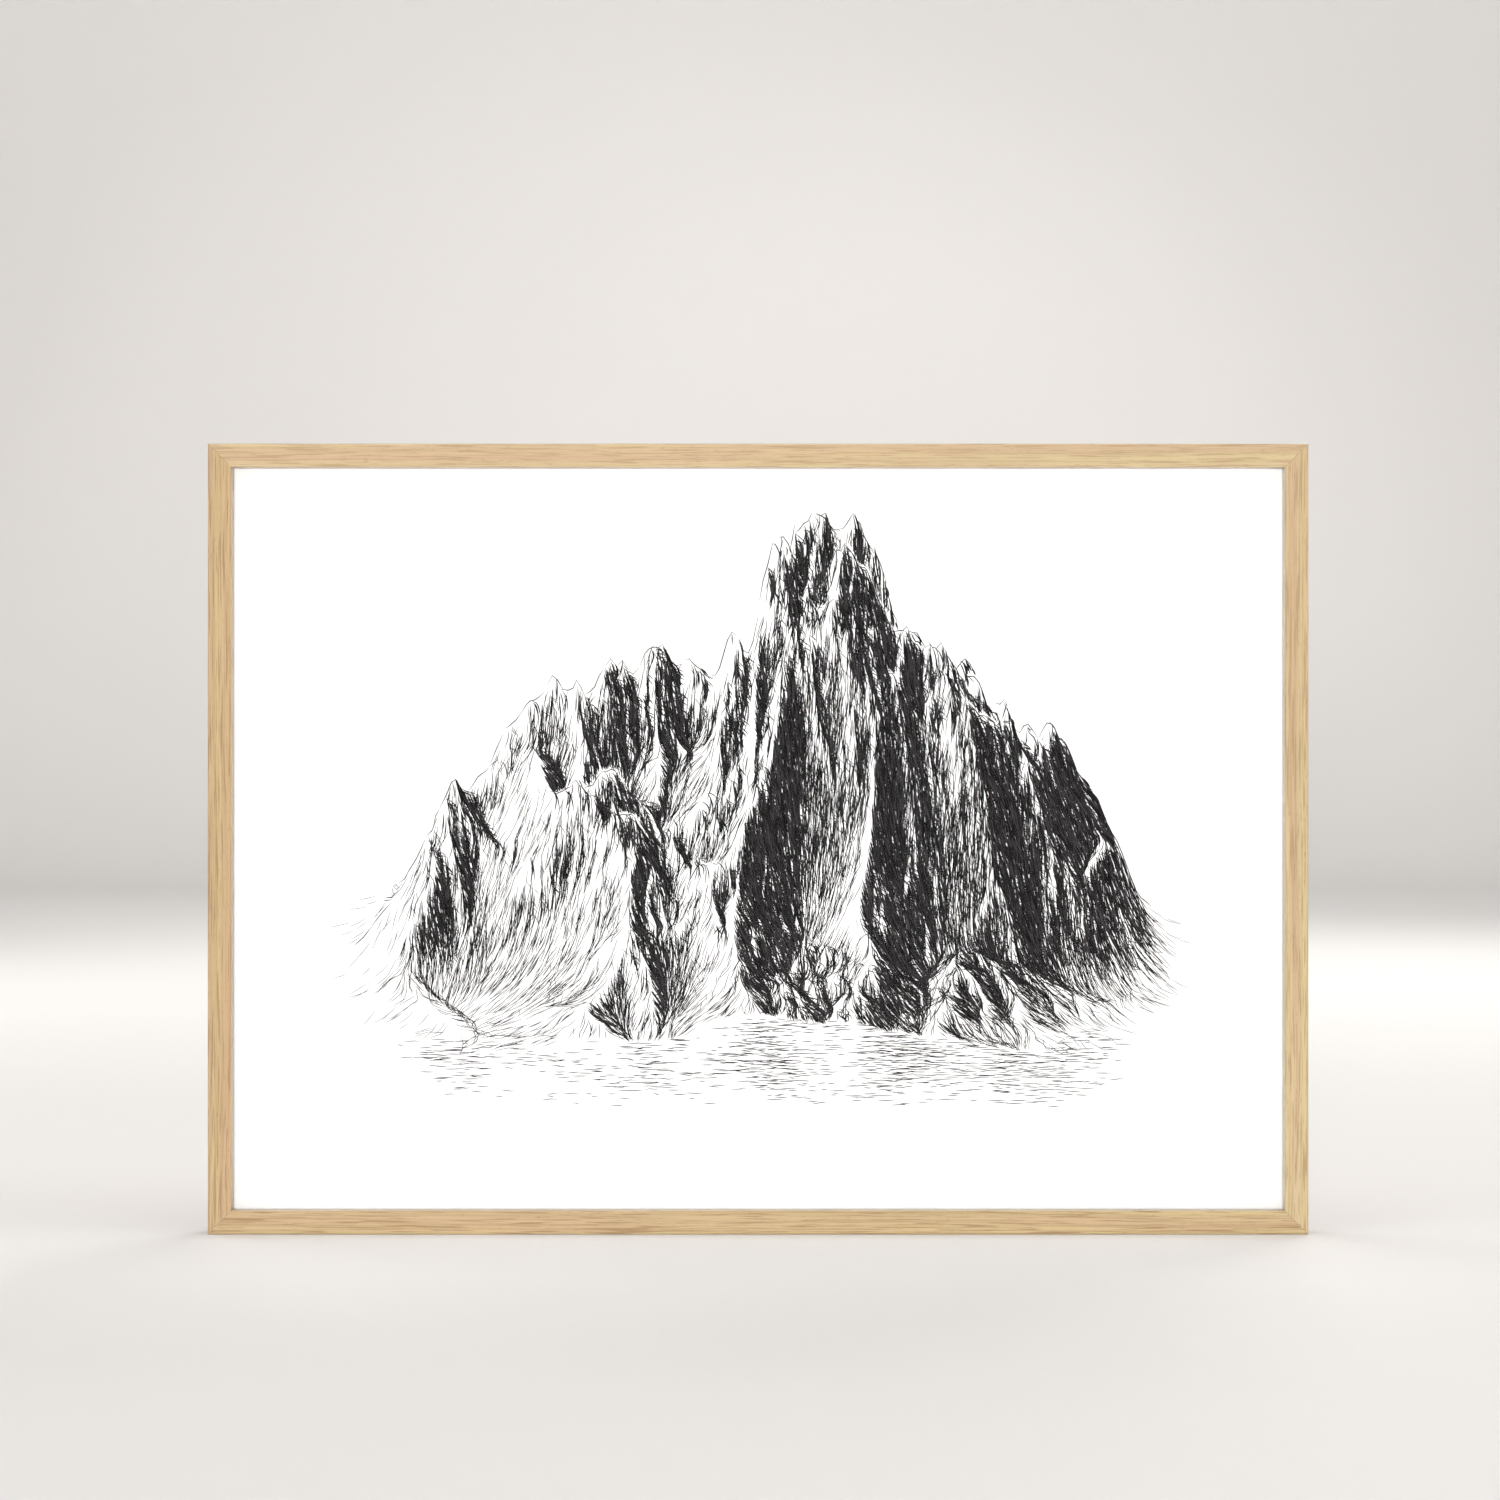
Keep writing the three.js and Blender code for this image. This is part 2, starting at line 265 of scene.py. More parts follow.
def oak(name, turn, shift, tint, figure):
    """Straight-grained oak; after the turn, the grain runs along the pattern's x."""
    wood = Finish(name)
    along = wood.mapped(wood.place, turn=turn, shift=shift)
    sway = wood.noise(wood.mapped(along, scale=SWAY_PER_METRE), 1.0, detail=1.0)
    swayed = wood.node("ShaderNodeVectorMath", operation="ADD")
    wood.join(along, swayed.inputs[0])
    lean = wood.node("ShaderNodeCombineXYZ")
    wood.join(wood.band(sway, 0.0, 1.0, -GRAIN_SWAY, GRAIN_SWAY), lean.inputs["Y"])
    wood.join(wood.band(sway, 0.0, 1.0, -GRAIN_SWAY, GRAIN_SWAY), lean.inputs["Z"])
    wood.join(lean.outputs["Vector"], swayed.inputs[1])
    grain = swayed.outputs["Vector"]
    bands = wood.noise(wood.mapped(grain, scale=BANDS_PER_METRE), 1.0, roughness=0.55)
    lines = wood.noise(wood.mapped(grain, scale=LINES_PER_METRE), 1.0, detail=3.0, roughness=0.62)
    streaks = wood.noise(wood.mapped(grain, scale=STREAKS_PER_METRE, shift=(3, 1, 2)), 1.0)
    ticks = wood.noise(wood.mapped(grain, scale=TICKS_PER_METRE, shift=(7, 4, 9)), 1.0)
    pores = wood.noise(wood.mapped(grain, scale=PORES_PER_METRE), 1.0, detail=1.0)
    colour = wood.mix(wood.band(bands, 0.36, 0.64), OAK_PALE, OAK_PINK)
    colour = wood.mix(wood.band(lines, 0.42, 0.64, 0.0, 0.50 * figure), colour, OAK_STREAK)
    colour = wood.mix(wood.band(streaks, 0.56, 0.68, 0.0, 0.28 * figure), colour, OAK_STREAK)
    colour = wood.mix(wood.band(ticks, 0.53, 0.62, 0.0, 1.05 * figure), colour, OAK_STREAK)
    pits = wood.band(pores, 0.66, 0.74)
    colour = wood.mix(wood.math("MULTIPLY", pits, 0.55), colour, OAK_PORE)
    # The tint shifts the whole rail's colour. It is partly the wood's own colour and partly painted light
    # and shade.
    colour = wood.mix(1.0, colour, tint, blend="MULTIPLY")
    gloss = wood.math("ADD", wood.band(lines, 0.3, 0.7, 0.40, 0.52), wood.math("MULTIPLY", pits, 0.2))
    depth = wood.math("SUBTRACT", wood.math("MULTIPLY", lines, 0.5), pits)
    wood.relief(depth, PORE_DEPTH, 0.55)
    return wood.finish(colour, gloss, **SATIN_COAT)


LEVEL = (0, 0, 0)
UPRIGHT = (0, math.radians(90), 0)
# The rails' tints are partly each length's own colour and partly painted light and shade. The top and
# right rails are lightened and the left and bottom rails darkened, to match how the light fell on each.
wear("rail_top", oak("oak_top", LEVEL, (0.31, 0.02, 0.013), (1.015, 1.045, 1.095, 1), 0.6))
wear("rail_right", oak("oak_right", UPRIGHT, (1.27, 0.05, 0.044), (1.015, 1.06, 1.065, 1), 0.8))
wear("rail_bottom", oak("oak_bottom", LEVEL, (2.83, 0.09, 0.071), (0.97, 0.975, 0.965, 1), 0.95))
wear("rail_left", oak("oak_left", UPRIGHT, (3.61, 0.13, 0.027), (0.935, 0.90, 0.885, 1), 0.85))


# Sheet of smooth heavyweight paper, pure white, with only a trace of tooth.
# It lies flat behind the glazing and carries the drawing on its front face.
PAPER_BRIGHT = (0.945, 0.945, 0.940, 1)
PAPER_CLOUDED = (0.925, 0.926, 0.922, 1)
paper = Finish("print_paper")
tooth = paper.noise(paper.place, 2600.0, detail=3.0, roughness=0.6)
cloud = paper.noise(paper.place, 9.0)
white = paper.mix(paper.band(cloud, 0.3, 0.7), PAPER_BRIGHT, PAPER_CLOUDED)
paper.relief(tooth, 0.00002, 0.35)
wear("print_sheet", paper.finish(white, paper.band(tooth, 0.3, 0.7, 0.72, 0.86)))


# The pen drawing: black ink lines of about half a millimetre, hatched down the slopes of a
# mountain range and level across a lake below it. Each line is a slightly raised stroke of dried
# ink on the sheet's face, tapered at both ends. Its sizes are millimetres on the sheet.
MM = 0.001
DRAWING_SEED = 1
GRID = 0.5
RANGE_WIDE = 470.0
RANGE_DEEP = 300.0
RANGE_TALL = 232
DRAWING_TALL = 340.0
DRAWING_FOOT = 66.0
SHORE = 52.0
FOOT_BELOW_SHORE = 24
VIEW_DOWN = math.radians(21)
draw = np.random.default_rng(DRAWING_SEED)

# Each peak: how far across and how far away it stands, how tall it is, and how wide.
PEAKS = (
    (38, 170, 1.0, 46),
    (116, 175, 0.74, 40),
    (-48, 165, 0.68, 44),
    (-122, 178, 0.52, 46),
    (180, 170, 0.42, 34),
    (-186, 170, 0.3, 30),
)
PEAK_DEEP = 60
WARP = 16
WARP_SIZE = 60
CREST_SIZE = 105.0
CREST_OCTAVES = 7
BUMP_CELLS = 64


def bumps(x, y, size):
    """Smooth random bumps of one size, from about -0.7 to 0.7."""
    lean = draw.uniform(0, 2 * np.pi, (BUMP_CELLS, BUMP_CELLS))
    i = np.floor(x / size).astype(int)
    j = np.floor(y / size).astype(int)
    a = x / size - i
    b = y / size - j

    def corner(di, dj):
        angle = lean[(i + di) % BUMP_CELLS, (j + dj) % BUMP_CELLS]
        return np.cos(angle) * (a - di) + np.sin(angle) * (b - dj)

    ease_a = a**3 * (a * (6 * a - 15) + 10)
    ease_b = b**3 * (b * (6 * b - 15) + 10)
    near = corner(0, 0) * (1 - ease_a) + corner(1, 0) * ease_a
    far = corner(0, 1) * (1 - ease_a) + corner(1, 1) * ease_a
    return near * (1 - ease_b) + far * ease_b


def mountain_heights(x, y):
    """Ridged heights: sharp crests on crests, over the peaks and a low foot."""
    bent_x = x + WARP * bumps(x, y, WARP_SIZE)
    bent_y = y + WARP * bumps(x, y, WARP_SIZE)
    crests = 0.0
    weight = 1.0
    size = CREST_SIZE
    share = 0.5
    for octave in range(CREST_OCTAVES):
        ridge = 1 - np.abs(2 * bumps(bent_x + 31 * octave, bent_y * 0.8, size))
        crest = np.clip(ridge, 0, 1) ** 2 * weight
        weight = np.clip(crest * 1.9, 0, 1)
        crests = crests + crest * share
        share *= 0.47
        size /= 2.05
    mass = 0.36 * np.exp(-((x / 130) ** 2) - ((y - 120) / 120) ** 2)
    for across, away, tall, spread in PEAKS:
        mass = mass + tall * np.exp(-(((x - across) / spread) ** 2) - ((y - away) / PEAK_DEEP) ** 2)
    return RANGE_TALL * mass * (0.5 + 0.62 * crests)


columns = int(RANGE_WIDE / GRID)
land_x, land_y = np.meshgrid(
    (np.arange(columns) + 0.5) * GRID - RANGE_WIDE / 2,
    (np.arange(int(RANGE_DEEP / GRID)) + 0.5) * GRID,
)
land_z = mountain_heights(land_x, land_y)

# Which row of the land shows at each spot of the sheet; -1 is the empty sky.
on_sheet = land_z * math.cos(VIEW_DOWN) + land_y * math.sin(VIEW_DOWN) + SHORE - FOOT_BELOW_SHORE
levels = (np.arange(int(DRAWING_TALL / GRID)) + 0.5) * GRID
seen = np.full((len(levels), columns), -1)
for column in range(columns):
    top = np.maximum.accumulate(on_sheet[:, column])
    rising = np.nonzero(np.concatenate([[True], top[1:] > top[:-1]]))[0]
    first = np.searchsorted(top[rising], levels)
    shows = (first < len(rising)) & (first > 0)
    seen[shows, column] = rising[first[shows]]
land = seen >= 0
spot = (np.clip(seen, 0, None), np.broadcast_to(np.arange(columns), seen.shape))

# How dark each spot is: away from a low light on the left, darker in hollows, fading at the foot
# and towards the sides.
LIGHT_FROM = [-0.80, -0.30, 0.42]
HOLLOW_REACHES = (4, 10)
FOOT_FADE = 26
SIDE_FADE = 44
slope_y, slope_x = np.gradient(land_z, GRID)
to_light = np.array(LIGHT_FROM) / np.linalg.norm(LIGHT_FROM)
lit = -slope_x * to_light[0] - slope_y * to_light[1] + to_light[2]
lit = (lit / np.sqrt(slope_x**2 + slope_y**2 + 1))[spot]
hollow = 0.0
for reach in HOLLOW_REACHES:
    around = [np.roll(land_z, way * reach, axis) for way in (-1, 1) for axis in (0, 1)]
    hollow = hollow + np.clip((sum(around) / 4 - land_z) / reach, -1, 1)
foot_fade = np.clip((land_z[spot] - 4) / FOOT_FADE, 0, 1)
side_fade = np.clip((RANGE_WIDE / 2 - np.abs(land_x[spot])) / SIDE_FADE, 0, 1)
tone = np.clip((0.90 - lit) / 0.94, 0, 1) ** 1.1 + 0.34 * np.clip(hollow[spot], -0.3, 1) + 0.08
tone = np.clip(tone, 0, 1) * (foot_fade * side_fade) * land

# Which way the ground falls, as it looks on the sheet.
fall_x = -slope_x[spot]
fall_z = (-(slope_x**2 + slope_y**2) * math.cos(VIEW_DOWN) - slope_y * math.sin(VIEW_DOWN))[spot]
fall_x, fall_z = np.stack([fall_x, fall_z]) / (np.hypot(fall_x, fall_z) + 1e-6)
away = land_y[spot]


def at_spots(values, points):
    """The values at points of the drawing, given as (across, up) in millimetres."""
    row = np.clip((points[:, 1] / GRID).astype(int), 0, values.shape[0] - 1)
    column = np.clip(((points[:, 0] + RANGE_WIDE / 2) / GRID).astype(int), 0, values.shape[1] - 1)
    return values[row, column]


def scattered(density, power, spacing):
    """Evenly scattered starts on the land, kept more often where the drawing is darker."""
    across, up = np.meshgrid(
        np.arange(-RANGE_WIDE / 2, RANGE_WIDE / 2, spacing), np.arange(0, DRAWING_TALL, spacing)
    )
    points = np.stack([across.ravel(), up.ravel()], 1) + draw.uniform(0, spacing, (across.size, 2))
    kept = draw.random(len(points)) < np.clip(density * at_spots(tone, points) ** power, 0, 1)
    return points[kept & at_spots(land, points)]


def hatched(starts, step, count, turn, wobble, jump):
    """Strokes that follow the fall of the ground, turned by turn, and stop where it breaks off."""
    paths = [starts]
    going = np.ones(len(starts), bool)
    lasting = np.ones(len(starts), int)
    bend = draw.normal(0, wobble, len(starts))
    way = None
    for k in range(1, count):
        angle = turn + bend * (k - 1)
        dx = at_spots(fall_x, paths[-1])
        dz = at_spots(fall_z, paths[-1])
        turned_x = dx * np.cos(angle) - dz * np.sin(angle)
        turned_z = dx * np.sin(angle) + dz * np.cos(angle)
        turned = np.stack([turned_x, turned_z], 1)
        way = turned if way is None else 0.55 * way + 0.45 * turned
        way = way / (np.linalg.norm(way, axis=1)[:, None] + 1e-9)
        ahead = paths[-1] + way * step[:, None]
        breaks = np.abs(at_spots(away, ahead) - at_spots(away, paths[-1])) > jump
        going = going & at_spots(land, ahead) & ~breaks
        lasting += going
        paths.append(np.where(going[:, None], ahead, paths[-1]))
    paths = np.stack(paths, 1)
    return [(path[:n], dark) for path, n, dark in zip(paths, lasting, at_spots(tone, starts)) if n > 2]


# Strokes down the slopes, then strokes across them in the darkest parts. The pen's half width
# grows with the darkness, from thin by the amount of press.
SLOPE_SPACING, SLOPE_THIN, SLOPE_PRESS = 1.38, 0.15, 0.21
CROSS_SPACING, CROSS_THIN, CROSS_PRESS = 2.2, 0.14, 0.14
CROSS_TURN = 0.75
starts = scattered(1.0, 0.8, SLOPE_SPACING)
steps = draw.uniform(1.5, 3.0, len(starts))
turns = draw.normal(0, 0.09, len(starts))
downhill = hatched(starts, steps, 6, turns, 0.04, 9.0)
downhill = [(path, SLOPE_THIN + SLOPE_PRESS * dark) for path, dark in downhill]
starts = scattered(0.95, 2.0, CROSS_SPACING)
steps = draw.uniform(1.4, 2.2, len(starts))
turns = CROSS_TURN + draw.normal(0, 0.12, len(starts))
crossing = hatched(starts, steps, 4, turns, 0.04, 7.0)
crossing = [(path, CROSS_THIN + CROSS_PRESS * dark) for path, dark in crossing]

# Crest lines: followed from column to column where the land breaks off to the sky or a far slope.
SKY_AWAY = 400.0
CREST_DROP = 5.0
CREST_LOWEST = 8
CREST_REACH = 7
CREST_HALF_WIDTH = 0.29
behind = np.roll(np.where(land, away, SKY_AWAY), -1, axis=0)
crest = land & (behind - away > CREST_DROP) & (land_z[spot] > CREST_LOWEST)
crest[-1] = False
open_lines = []
ended_lines = []
for column in range(columns):
    still_open = []
    for row in np.nonzero(crest[:, column])[0]:
        near = [line for line in open_lines if abs(line[-1][1] - row) <= CREST_REACH]
        line = min(near, key=lambda line: abs(line[-1][1] - row)) if near else []
        if near:
            open_lines = [other for other in open_lines if other is not line]
        line.append((column, row))
        still_open.append(line)
    ended_lines += open_lines
    open_lines = still_open
ended_lines += open_lines
outlines = []
for line in ended_lines:
    points = np.array(line, float) * GRID - (RANGE_WIDE / 2, 0)
    start = 0
    while start < len(points) - 5:
        run = int(draw.integers(12, 34))
        piece = points[start : start + run]
        chosen = np.linspace(0, len(piece) - 1, max(3, len(piece) // 4)).astype(int)
        shaken = piece[chosen] + draw.normal(0, 0.12, (len(chosen), 2))
        outlines.append((shaken, CREST_HALF_WIDTH))
        start += run - int(draw.integers(-3, 5))

# The lake: level strokes, dense below the dark slopes that they mirror.
LAKE_HALF = 206
LAKE_FOOT = 4
RIPPLE_HALF_WIDTH = 0.22
across, up = np.meshgrid(np.arange(-LAKE_HALF, LAKE_HALF, 3.4), np.arange(LAKE_FOOT, SHORE, 1.7))
water = np.stack([across.ravel(), up.ravel()], 1) + draw.uniform(0, 1.5, (across.size, 2)) * (2, 1)
shimmer = 5 * np.sin(water[:, 1] * 1.9)
mirrored = np.stack([water[:, 0] + shimmer, SHORE + 8 + (SHORE - water[:, 1]) * 3.0], 1)
below = at_spots(tone, mirrored) * np.clip((water[:, 1] - 2) / 34, 0, 1) ** 0.7
below *= np.clip((LAKE_HALF - np.abs(water[:, 0])) / 40, 0, 1)
water = water[(draw.random(len(water)) < below * 1.1) & (at_spots(tone, water) < 0.05)]
ripples = []
for point in water:
    half = draw.uniform(1.5, 5.5)
    line = np.stack([point[0] + np.linspace(-half, half, 4), point[1] + draw.normal(0, 0.12, 4)], 1)
    ripples.append((line, RIPPLE_HALF_WIDTH))

INK_THICK = (0.0030, 0.0025, 0.0028, 1)
INK_THIN = (0.062, 0.056, 0.060, 1)
INK_GLOSS = 0.10
ink = Finish("pen_ink")
pooling = ink.noise(ink.place, 900.0)
lightness = ink.node("ShaderNodeAttribute", attribute_name="lightness").outputs["Fac"]
lightness = ink.math("ADD", lightness, ink.band(pooling, 0.3, 0.7, -0.15, 0.15))
ink_colour = ink.mix(ink.band(lightness, 0.1, 1.0), INK_THICK, INK_THIN)
ink.finish(ink_colour, ink.band(pooling, 0.3, 0.7, 0.62, 0.78), **{"Specular IOR Level": INK_GLOSS})


def node_tree(name, **inputs):
    """An empty Geometry Nodes tree with a mesh in and out, and the named inputs besides."""
    tree = bpy.data.node_groups.new(name, "GeometryNodeTree")
    tree.interface.new_socket("Geometry", in_out="INPUT", socket_type="NodeSocketGeometry")
    for key, kind in inputs.items():
        tree.interface.new_socket(key, in_out="INPUT", socket_type=kind)
    tree.interface.new_socket("Geometry", in_out="OUTPUT", socket_type="NodeSocketGeometry")
    return tree, tree.nodes.new("NodeGroupInput"), tree.nodes.new("NodeGroupOutput")


def grown(name, mesh, tree, **values):
    """The plain mesh that the tree makes of a mesh, as a new object."""
    host = bpy.data.objects.new(name + "_paths", mesh)
    bpy.context.collection.objects.link(host)
    modifier = host.modifiers.new("grow", "NODES")
    modifier.node_group = tree
    sockets = {item.name: item.identifier for item in tree.interface.items_tree if item.in_out == "INPUT"}
    for key, value in values.items():
        modifier[sockets[key]] = value
    depsgraph = bpy.context.evaluated_depsgraph_get()
    made = bpy.data.meshes.new_from_object(host.evaluated_get(depsgraph))
    bpy.data.objects.remove(host)
    made.name = name
    piece = bpy.data.objects.new(name, made)
    bpy.context.collection.objects.link(piece)
    return piece


def stroke_tree():
    """A closed, three-sided stroke along each path, flat on the sheet, as wide as the pen pressed."""
    tree, given, result = node_tree("pen_stroke", Relief="NodeSocketFloat", Ink="NodeSocketMaterial")
    link = tree.links.new
    paths = tree.nodes.new("GeometryNodeMeshToCurve")
    facing = tree.nodes.new("GeometryNodeSetCurveNormal")
    facing.mode = "FREE"
    facing.inputs["Normal"].default_value = (0, -1, 0)
    pressed = tree.nodes.new("GeometryNodeInputNamedAttribute")
    pressed.inputs["Name"].default_value = "half_width"
    section = tree.nodes.new("GeometryNodeCurvePrimitiveCircle")
    section.inputs["Resolution"].default_value = 3
    section.inputs["Radius"].default_value = 1.0
    flat = tree.nodes.new("ShaderNodeCombineXYZ")
    flat.inputs["Y"].default_value = 2 / math.sqrt(3)
    flat.inputs["Z"].default_value = 1.0
    lifted = tree.nodes.new("ShaderNodeCombineXYZ")
    half = tree.nodes.new("ShaderNodeMath")
    half.operation = "MULTIPLY"
    half.inputs[1].default_value = 0.55
    shaped = tree.nodes.new("GeometryNodeTransform")
    body = tree.nodes.new("GeometryNodeCurveToMesh")
    body.inputs["Fill Caps"].default_value = True
    real = tree.nodes.new("GeometryNodeRealizeInstances")
    inked = tree.nodes.new("GeometryNodeSetMaterial")
    link(given.outputs["Geometry"], paths.inputs["Mesh"])
    link(paths.outputs["Curve"], facing.inputs["Curve"])
    link(facing.outputs["Curve"], body.inputs["Curve"])
    link(pressed.outputs["Attribute"], body.inputs["Scale"])
    link(given.outputs["Relief"], flat.inputs["X"])
    link(given.outputs["Relief"], half.inputs[0])
    link(half.outputs["Value"], lifted.inputs["X"])
    link(section.outputs["Curve"], shaped.inputs["Geometry"])
    link(flat.outputs["Vector"], shaped.inputs["Scale"])
    link(lifted.outputs["Vector"], shaped.inputs["Translation"])
    link(shaped.outputs["Geometry"], body.inputs["Profile Curve"])
    link(body.outputs["Mesh"], real.inputs["Geometry"])
    link(real.outputs["Geometry"], inked.inputs["Geometry"])
    link(given.outputs["Ink"], inked.inputs["Material"])
    link(inked.outputs["Geometry"], result.inputs["Geometry"])
    return tree


def path_mesh(name, lines, side):
    """One open path per line on the sheet's face, with its half width, narrow at both ends, and
    how light it is."""
    points = []
    edges = []
    widths = []
    shades = []
    for line, half in lines:
        inner = np.minimum(np.arange(len(line)), np.arange(len(line))[::-1]) / (len(line) - 1)
        edges += [(len(points) + k, len(points) + k + 1) for k in range(len(line) - 1)]
        points += [(x * MM, side, (z + DRAWING_FOOT) * MM) for x, z in line]
        widths += list(half * MM * np.clip(0.35 + 2.2 * inner, 0, 1))
        shades += [draw.random() ** 2] * len(line)
    mesh = bpy.data.meshes.new(name)
    mesh.from_pydata(points, edges, [])
    mesh.attributes.new("half_width", "FLOAT", "POINT").data.foreach_set("value", widths)
    mesh.attributes.new("lightness", "FLOAT", "POINT").data.foreach_set("value", shades)
    return mesh


# The slopes' strokes are four pieces, split by how far across each stroke starts.
INK_RELIEF = 0.16
SLOPE_SPLITS = (-math.inf, -45, 41, 111, math.inf)
drawing_layers = {}
for part, low, high in zip(("left", "middle", "right", "far_right"), SLOPE_SPLITS, SLOPE_SPLITS[1:]):
    drawing_layers["ink_slopes_" + part] = [line for line in downhill if low <= line[0][0][0] < high]
drawing_layers["ink_crossing"] = crossing
drawing_layers["ink_crests_and_lake"] = outlines + ripples
sheet_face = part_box("print_sheet")[0][1]
strokes = stroke_tree()
for name, lines in drawing_layers.items():
    drawn = grown(name, path_mesh(name, lines, sheet_face), strokes, Relief=INK_RELIEF, Ink=ink.material)
    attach(drawn, "frame")


# Glazing: one pane of clear picture glass, two millimetres thick, held behind the rails' lip.
# It is nearly invisible, with a trace of green.
GLASS_COLOUR = (0.030, 0.034, 0.031, 1)
glass = bpy.data.materials.new("clear_glass")
glass.use_nodes = True
pane = glass.node_tree.nodes["Principled BSDF"]
pane.inputs["Base Color"].default_value = GLASS_COLOUR
pane.inputs["Roughness"].default_value = 0.04
pane.inputs["Specular IOR Level"].default_value = 0.25
pane.inputs["Alpha"].default_value = 0.05
wear("glazing", glass)


# Filler card behind the sheet: corrugated card with a pale, fibrous paper face.
# It packs the rebate so that the back board holds everything tight.
CARD_SHADED = (0.74, 0.71, 0.63, 1)
CARD_PALE = (0.84, 0.81, 0.73, 1)
card = Finish("filler_card")
fibres = card.noise(card.mapped(card.place, scale=(1, 1, 3)), 700.0, detail=4.0, roughness=0.7)
card_colour = card.mix(card.band(fibres, 0.3, 0.7), CARD_SHADED, CARD_PALE)
card.relief(fibres, 0.00005, 0.5)
wear("filler_board", card.finish(card_colour, card.band(fibres, 0.3, 0.7, 0.8, 0.95)))


# Back board: three millimetres of brown fibreboard with its smooth face out.
# Pressed wood fibres give it a fine mottle, with a few darker flecks of bark.
BOARD_DARK = (0.300, 0.180, 0.096, 1)
BOARD_LIGHT = (0.345, 0.212, 0.115, 1)
BOARD_WISP = (0.440, 0.300, 0.180, 1)
BOARD_FLECK = (0.120, 0.065, 0.035, 1)
board = Finish("fibreboard")
mottle = board.noise(board.place, 55.0, detail=5.0, roughness=0.65)
wisps = board.noise(board.mapped(board.place, scale=(1, 1, 1.7)), 900.0, detail=3.0, roughness=0.7)
flecks = board.noise(board.place, 1500.0, detail=1.0)
brown = board.mix(board.band(mottle, 0.3, 0.7), BOARD_DARK, BOARD_LIGHT)
brown = board.mix(board.band(wisps, 0.35, 0.75, 0.0, 0.5), brown, BOARD_WISP)
brown = board.mix(board.band(flecks, 0.69, 0.75, 0.0, 0.7), brown, BOARD_FLECK)
board.relief(wisps, 0.00004, 0.5)
wear("back_board", board.finish(brown, board.band(wisps, 0.3, 0.7, 0.46, 0.62)))


# Turn buttons, strap hangers, rings and their screws: steel, stamped or bent, and zinc plated.
# The plating is cool and bright with cloudy patches and fine rub marks.
ZINC_COOL = (0.62, 0.64, 0.67, 1)
ZINC_WARM = (0.73, 0.72, 0.68, 1)
ZINC_RUBBED = (0.45, 0.46, 0.48, 1)


def zinc(name, stretch):
    """Bright zinc plate; stretch draws its rub marks out along one direction."""
    metal = Finish(name)
    clouds = metal.noise(metal.place, 160.0, detail=3.0, roughness=0.6)
    rubs = metal.noise(metal.mapped(metal.place, scale=stretch), 900.0)
    tint = metal.mix(metal.band(clouds, 0.3, 0.7), ZINC_COOL, ZINC_WARM)
    tint = metal.mix(metal.band(rubs, 0.62, 0.78, 0.0, 0.4), tint, ZINC_RUBBED)
    metal.relief(metal.math("ADD", rubs, clouds), 0.00003, 0.4)
    cloudy = metal.band(clouds, 0.3, 0.7, 0.24, 0.40)
    dull = metal.math("ADD", cloudy, metal.band(rubs, 0.4, 0.8, 0.0, 0.08))
    return metal.finish(tint, dull, Metallic=1.0)


stamped_zinc = zinc("zinc_stamped", (1, 1, 6))
turned_zinc = zinc("zinc_turned", (1, 5, 1))
bent_zinc = zinc("zinc_bent", (4, 1, 1))
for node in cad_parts:
    if node.startswith("turn_button"):
        wear(node, stamped_zinc)
    elif "screw" in node:
        wear(node, turned_zinc)
    elif node.startswith("hanger"):
        wear(node, bent_zinc)


# Corner nails: at the back of each mitre, two V-shaped slips of steel are driven in flush.
# The V's point lies on the mitre line and one leg bites into each rail.
NAIL_LEG = 3.0
NAIL_THICK = 0.42
NAIL_PROUD = 0.06
NAIL_PLACES = (2.2, 5.0)
rail_boxes = [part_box(node) for node in ("rail_bottom", "rail_left", "rail_top", "rail_right")]
outer_low = [min(low[axis] for low, high in rail_boxes) for axis in range(3)]
outer_high = [max(high[axis] for low, high in rail_boxes) for axis in range(3)]


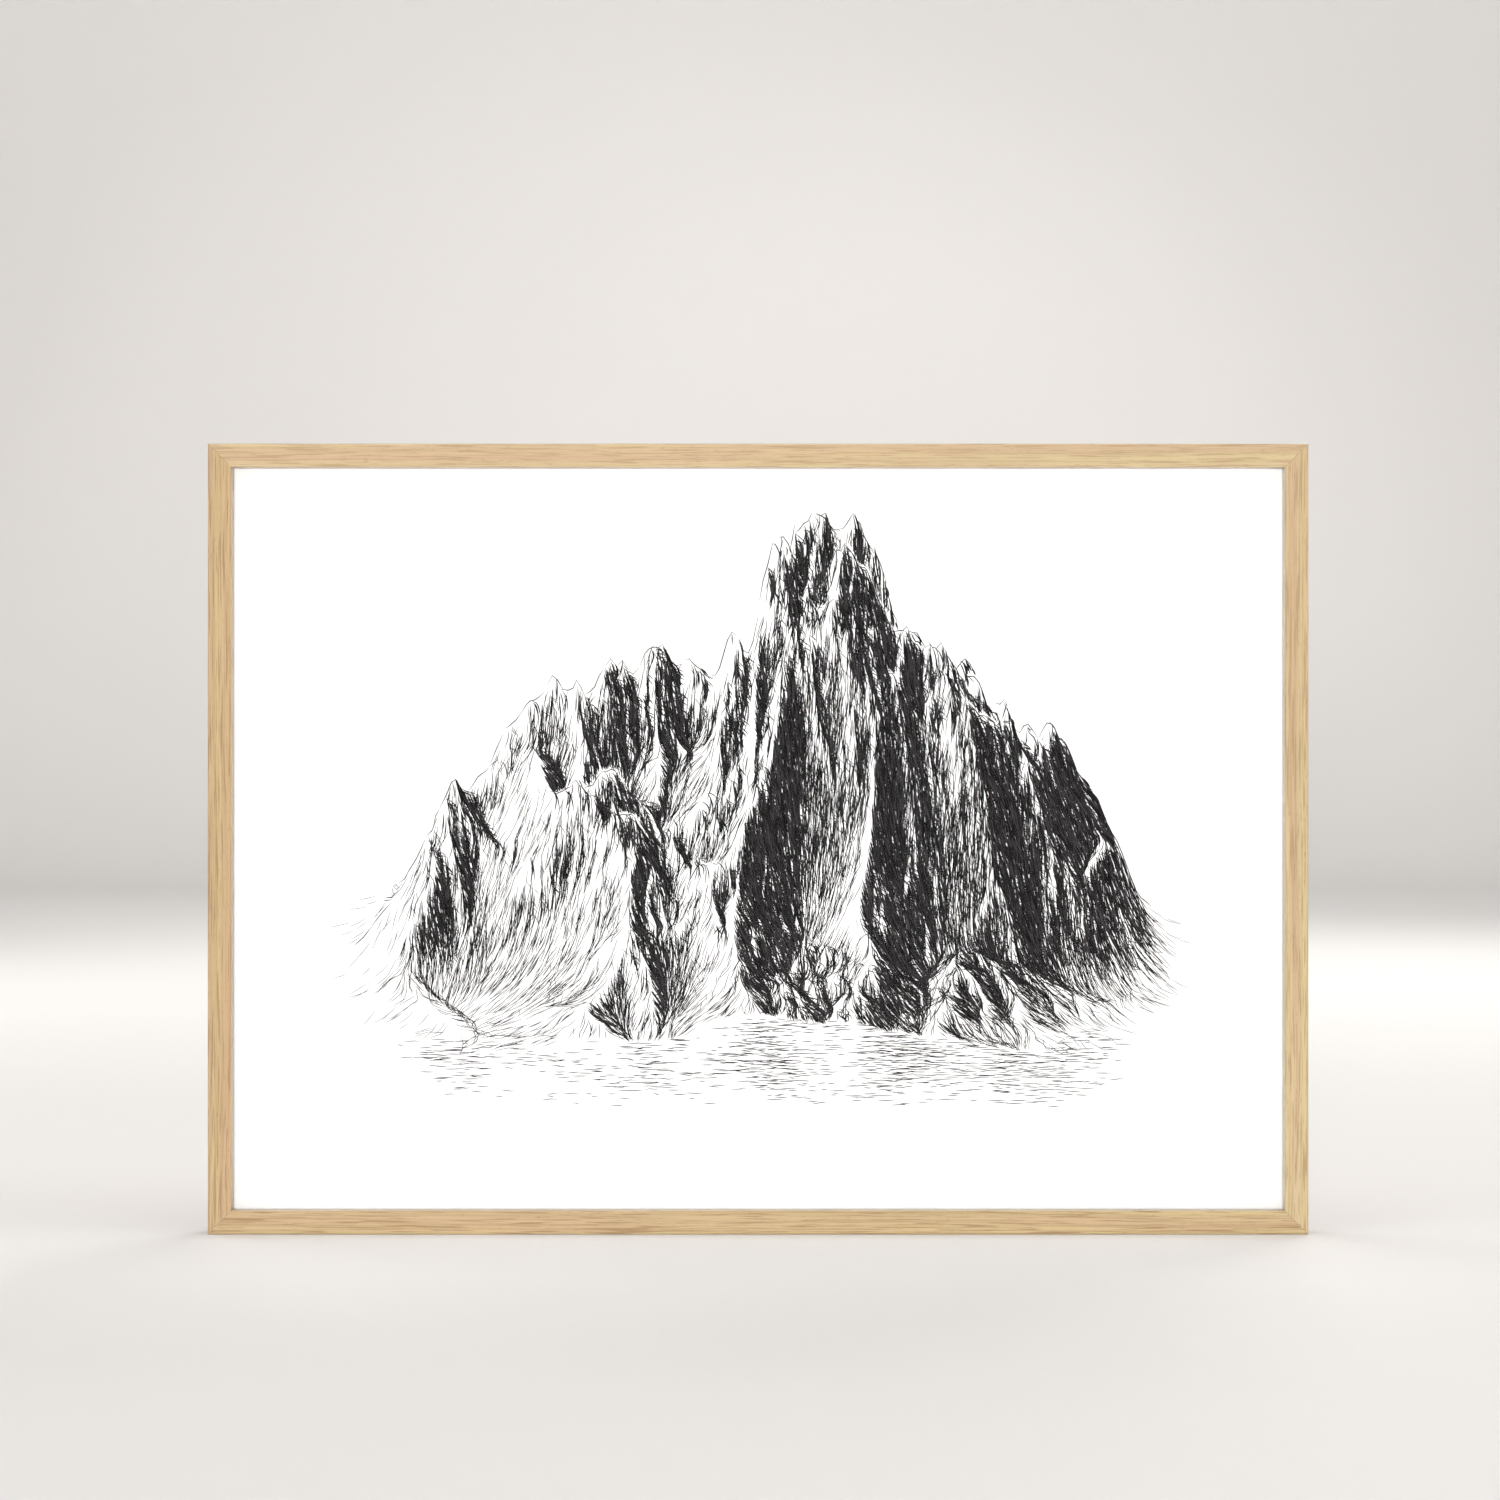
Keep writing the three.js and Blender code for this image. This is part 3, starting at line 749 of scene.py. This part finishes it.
def nail_tree():
    """A square-edged steel strip along each path, of the given thickness and depth."""
    sizes = {"Thickness": "NodeSocketFloat", "Depth": "NodeSocketFloat", "Steel": "NodeSocketMaterial"}
    tree, given, result = node_tree("corner_nail", **sizes)
    link = tree.links.new
    paths = tree.nodes.new("GeometryNodeMeshToCurve")
    facing = tree.nodes.new("GeometryNodeSetCurveNormal")
    facing.mode = "FREE"
    facing.inputs["Normal"].default_value = (0, 1, 0)
    section = tree.nodes.new("GeometryNodeCurvePrimitiveQuadrilateral")
    body = tree.nodes.new("GeometryNodeCurveToMesh")
    body.inputs["Fill Caps"].default_value = True
    real = tree.nodes.new("GeometryNodeRealizeInstances")
    plated = tree.nodes.new("GeometryNodeSetMaterial")
    link(given.outputs["Geometry"], paths.inputs["Mesh"])
    link(paths.outputs["Curve"], facing.inputs["Curve"])
    link(facing.outputs["Curve"], body.inputs["Curve"])
    link(given.outputs["Depth"], section.inputs["Width"])
    link(given.outputs["Thickness"], section.inputs["Height"])
    link(section.outputs["Curve"], body.inputs["Profile Curve"])
    link(body.outputs["Mesh"], real.inputs["Geometry"])
    link(real.outputs["Geometry"], plated.inputs["Geometry"])
    link(given.outputs["Steel"], plated.inputs["Material"])
    link(plated.outputs["Geometry"], result.inputs["Geometry"])
    return tree


nail_points = []
nail_edges = []
leg = NAIL_LEG * MM
back = outer_high[1]
for side in (-1, 1):
    for up in (-1, 1):
        corner_x = outer_high[0] if side > 0 else outer_low[0]
        corner_z = outer_high[2] if up > 0 else outer_low[2]
        for inward in NAIL_PLACES:
            at = len(nail_points)
            x = corner_x - side * inward * MM
            z = corner_z - up * inward * MM
            nail_points += [(x - side * leg, back, z), (x, back, z), (x, back, z - up * leg)]
            nail_edges += [(at, at + 1), (at + 1, at + 2)]
nail_mesh = bpy.data.meshes.new("corner_nail_paths")
nail_mesh.from_pydata(nail_points, nail_edges, [])
nail_sizes = {"Thickness": NAIL_THICK * MM, "Depth": 2 * NAIL_PROUD * MM}
corner_nails = grown("corner_nails", nail_mesh, nail_tree(), **nail_sizes, Steel=turned_zinc)
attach(corner_nails, "frame")


# Bumpers: round pads of soft black rubber, stuck on the back near the lower corners.
# They keep the frame's foot clear of what it stands against.
RUBBER_BLACK = (0.040, 0.040, 0.040, 1)
RUBBER_BLOOM = (0.070, 0.069, 0.067, 1)
rubber = Finish("bumper_rubber")
bloom = rubber.noise(rubber.place, 420.0, detail=3.0)
black = rubber.mix(rubber.band(bloom, 0.3, 0.7), RUBBER_BLACK, RUBBER_BLOOM)
rubber.relief(bloom, 0.00004, 0.4)
soft_black = rubber.finish(black, rubber.band(bloom, 0.3, 0.7, 0.55, 0.72))
for side in ("left", "right"):
    wear("bumper_" + side, soft_black)


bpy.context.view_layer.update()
